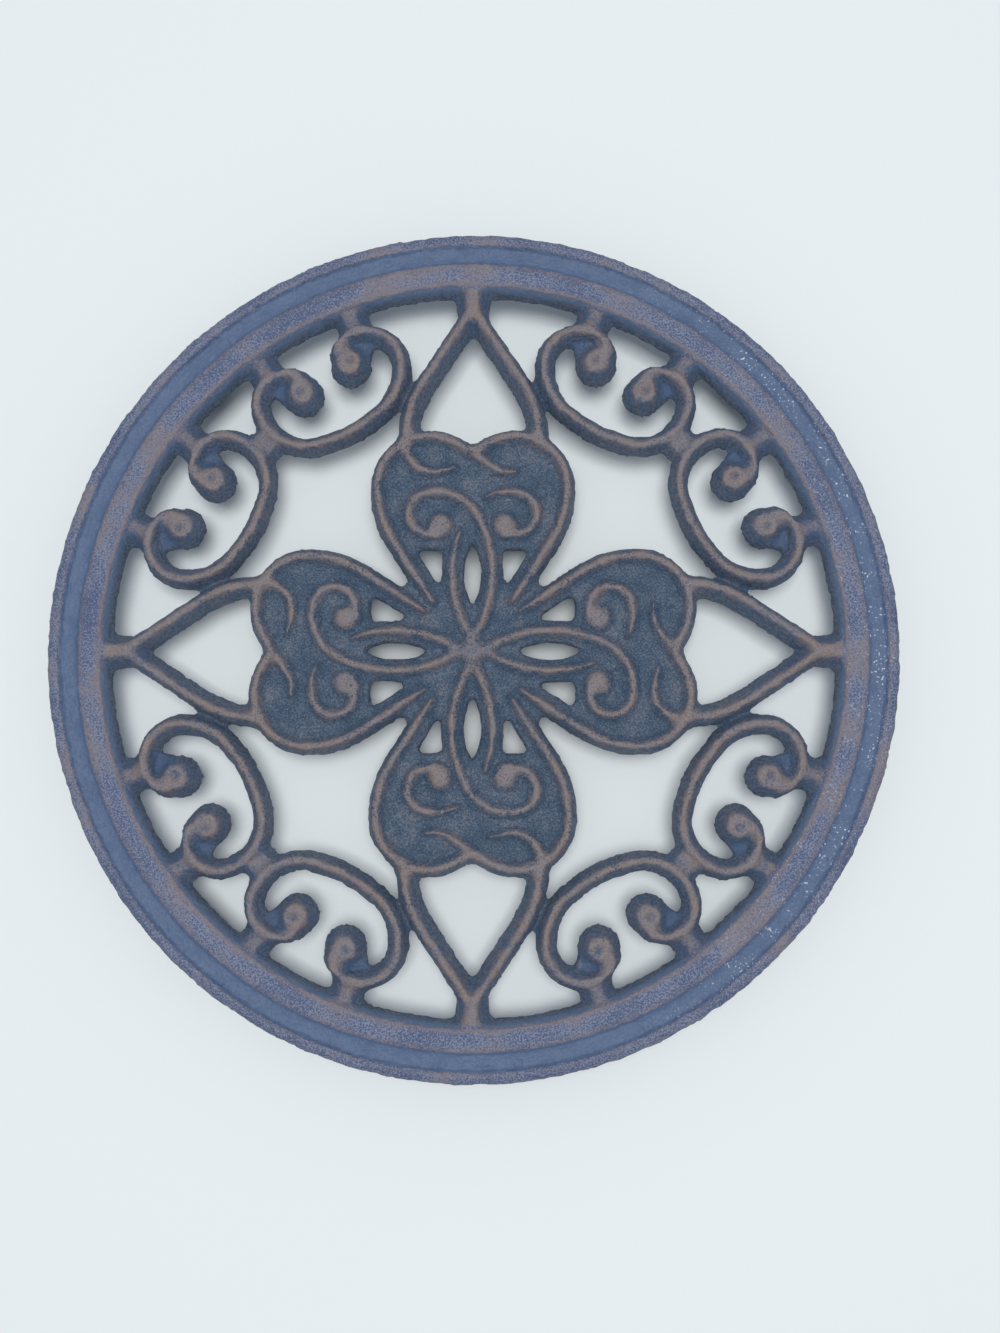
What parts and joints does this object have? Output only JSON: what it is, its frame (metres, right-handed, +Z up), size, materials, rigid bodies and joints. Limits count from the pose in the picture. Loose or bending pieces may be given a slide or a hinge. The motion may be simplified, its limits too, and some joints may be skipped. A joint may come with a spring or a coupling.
{
  "type": "trivet",
  "caption": "Round cast-iron trivet: openwork scrolls, arches and hearts inside a coved rim, on short pegs with rubber caps. It holds a hot pot off the table.",
  "frame": {"origin": "on the table, under the middle of the trivet", "axes": "+Z up; +X and +Y each run through the middle of a heart"},
  "size_m": [0.197, 0.197, 0.016],
  "materials": {
    "cast_iron": "sand-cast, oil-blackened, worn brown on the crests",
    "cap_rubber": "matt moulded rubber"
  },
  "bodies": {
    "root": {"casting": "cast_iron", "foot_cap_1": "cap_rubber", "foot_cap_2": "cap_rubber", "foot_cap_3": "cap_rubber", "foot_cap_4": "cap_rubber"}
  },
  "joints": []
}
